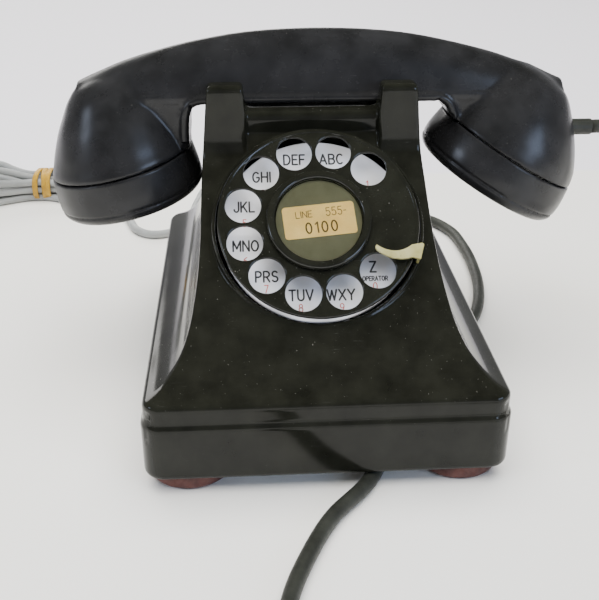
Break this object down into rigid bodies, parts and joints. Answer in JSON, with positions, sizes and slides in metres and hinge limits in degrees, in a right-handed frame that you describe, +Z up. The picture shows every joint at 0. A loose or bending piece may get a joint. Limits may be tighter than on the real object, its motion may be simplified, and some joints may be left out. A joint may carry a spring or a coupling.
{
  "type": "rotary telephone",
  "caption": "Black rotary desk telephone: tapered housing with four cradle posts, tilted finger dial, lift-off handset, handset cord and tied line cord.",
  "frame": {"origin": "on the table under the middle of the whole telephone, measured without its cords", "axes": "+X to the right of a person facing the dial, +Y to the back, +Z up"},
  "size_m": [0.4188, 0.4281, 0.1426],
  "materials": {
    "black_moulding": "glossy moulded phenolic, fine scratches and dust",
    "handset_moulding": "satin-gloss moulded phenolic, handled",
    "black_enamel": "black stoving enamel",
    "white_enamel": "white vitreous enamel with printed legends",
    "steel": "zinc plated steel",
    "brass": "worn nickel over brass",
    "bell_bronze": "spun bell metal",
    "foot_leather": "dark red-brown leather",
    "card": "grey-green card",
    "label_paper": "yellowed paper",
    "clear_window": "clear sheet",
    "winding": "wrapped winding",
    "phenolic": "brown laminate",
    "zinc_can": "dull drawn can",
    "black_rubber": "smooth rubber",
    "grey_rubber": "smooth grey jacket",
    "ochre_band": "ochre elastic band"
  },
  "bodies": {
    "root": {"housing": "black_moulding", "number_plate": "white_enamel", "base_plate": "steel", "base_screw_1": "steel", "base_screw_2": "steel", "base_screw_3": "steel", "base_screw_4": "steel", "dial_case": "steel", "governor_cup": "steel", "mainspring": "steel", "switch_frame": "steel", "ringer_frame": "steel", "finger_stop": "brass", "rivet_front_left": "brass", "rivet_front_right": "brass", "rivet_back_left": "brass", "rivet_back_right": "brass", "gong_left": "bell_bronze", "gong_right": "bell_bronze", "foot_front_left": "foot_leather", "foot_front_right": "foot_leather", "foot_back_left": "foot_leather", "foot_back_right": "foot_leather", "ringer_coil_left": "winding", "ringer_coil_right": "winding", "induction_coil": "winding", "pulse_contacts": "phenolic", "switch_contacts": "phenolic", "terminal_strip": "phenolic", "condenser": "zinc_can", "handset_cord": "black_rubber", "handset_cord_sleeve": "black_rubber", "line_plug": "black_rubber", "line_cord": "grey_rubber", "line_cord_sleeve": "grey_rubber", "line_cord_hank": "grey_rubber", "line_cord_tail": "grey_rubber", "tie_band": "ochre_band"},
    "dial": {"finger_wheel": "black_enamel", "card_ring": "black_enamel", "number_card": "card", "number_label": "label_paper", "card_window": "clear_window", "dial_shaft": "steel", "main_gear": "brass", "pulse_ratchet": "steel"},
    "pinion": {"pinion_gear": "brass"},
    "governor": {"governor_rotor": "brass"},
    "handset": {"handset_body": "handset_moulding", "receiver_cap": "handset_moulding", "transmitter_cap": "handset_moulding", "receiver_unit": "zinc_can", "transmitter_unit": "zinc_can", "handset_end_sleeve": "black_rubber"},
    "left_plunger": {"plunger_left": "black_moulding"},
    "right_plunger": {"plunger_right": "black_moulding"},
    "hook_lever": {"switch_lever": "steel"},
    "clapper": {"clapper": "brass"}
  },
  "joints": [
    {"name": "dial_spin", "type": "hinge", "parent": "root", "child": "dial", "pos_m": [-0.002, -0.0368, 0.0831], "axis": [0, 0.7145, -0.6997], "range_deg": [0, 325], "stiffness_Nm_per_rad": 0.02},
    {"name": "pinion_spin", "type": "hinge", "parent": "root", "child": "pinion", "pos_m": [-0.0189, -0.0268, 0.0733], "axis": [0, 0.7145, -0.6997], "range_deg": [-868, 1]},
    {"name": "governor_spin", "type": "hinge", "parent": "root", "child": "governor", "pos_m": [-0.028, -0.02501, 0.07156], "axis": [0, 0.6997, 0.7145], "continuous": true},
    {"name": "handset_lift", "type": "slide", "parent": "root", "child": "handset", "axis": [0, 0, 1], "range_m": [0, 0.12]},
    {"name": "left_plunger_rise", "type": "slide", "parent": "root", "child": "left_plunger", "axis": [0, 0, 1], "range_m": [0, 0.006]},
    {"name": "right_plunger_rise", "type": "slide", "parent": "root", "child": "right_plunger", "axis": [0, 0, 1], "range_m": [0, 0.006]},
    {"name": "hook_lever_tilt", "type": "hinge", "parent": "root", "child": "hook_lever", "pos_m": [-0.002, 0.041, 0.0944], "axis": [-1, 0, 0], "range_deg": [0, 15]},
    {"name": "clapper_swing", "type": "hinge", "parent": "root", "child": "clapper", "pos_m": [-0.002, 0.041, 0.03], "axis": [0, 0, 1], "range_deg": [-4.5, 4.5], "stiffness_Nm_per_rad": 0.01}
  ],
  "couplings": [
    {"joint": "pinion_spin", "follows": "dial_spin", "ratio": -2.6667},
    {"joint": "governor_spin", "follows": "dial_spin", "ratio": 18.667},
    {"joint": "left_plunger_rise", "follows": "handset_lift", "ratio": 0.05},
    {"joint": "right_plunger_rise", "follows": "handset_lift", "ratio": 0.05},
    {"joint": "hook_lever_tilt", "follows": "handset_lift", "rad_per_m": 2.1817}
  ]
}
